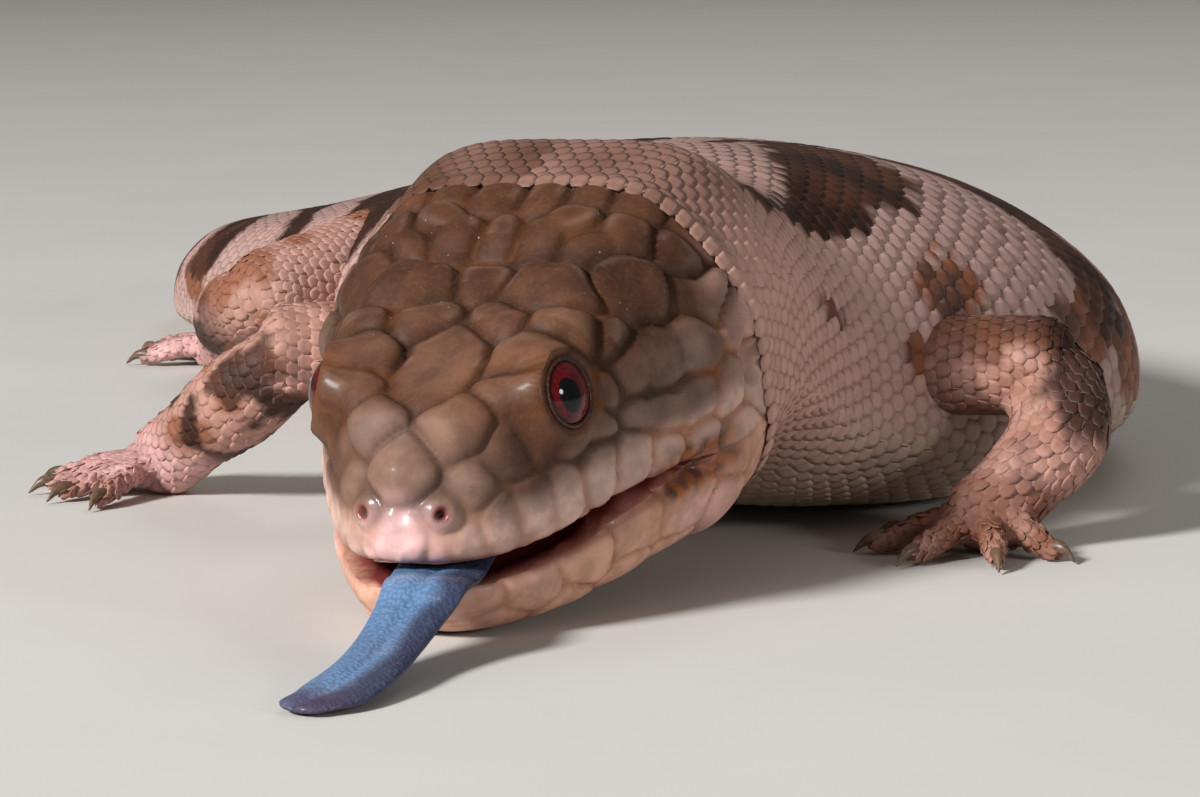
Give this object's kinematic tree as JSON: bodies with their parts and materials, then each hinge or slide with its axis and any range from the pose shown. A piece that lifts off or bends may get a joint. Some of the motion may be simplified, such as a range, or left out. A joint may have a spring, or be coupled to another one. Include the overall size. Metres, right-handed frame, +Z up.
{
  "type": "blue tongued skink model",
  "caption": "Still, life-size model of a blue tongued skink resting on the floor, body curved to one side, head low and turned, mouth a little open and the broad blue tongue out.",
  "frame": {"origin": "middle of the footprint at floor level", "axes": "+Z up; the head looks along -Y and the tail runs back along +Y; +X is the animal's left side"},
  "size_m": [0.157, 0.443, 0.0519],
  "materials": {
    "head_skin": "satin taupe brown shields with darker grooves",
    "jaw_skin": "satin pinkish cream scales with orange seams",
    "body_skin": "satin pale pink grey scales with dark and orange bands",
    "tail_skin": "satin banded scales",
    "limb_skin": "satin pink and brown scales with black patches",
    "eye": "wet red iris with a black pupil",
    "tongue": "wet slate blue with a purple tip"
  },
  "bodies": {
    "root": {"head": "head_skin", "lower_jaw": "jaw_skin", "tongue": "tongue", "eye_left": "eye", "eye_right": "eye", "neck": "body_skin", "torso_front": "body_skin", "torso_middle": "body_skin", "torso_rear": "body_skin", "hips": "body_skin", "tail_base": "tail_skin", "tail_middle": "tail_skin", "tail_tip": "tail_skin", "upper_arm_left": "limb_skin", "forearm_left": "limb_skin", "hand_left": "limb_skin", "upper_arm_right": "limb_skin", "forearm_right": "limb_skin", "hand_right": "limb_skin", "thigh_left": "limb_skin", "shin_left": "limb_skin", "foot_left": "limb_skin", "thigh_right": "limb_skin", "shin_right": "limb_skin", "foot_right": "limb_skin"}
  },
  "joints": []
}
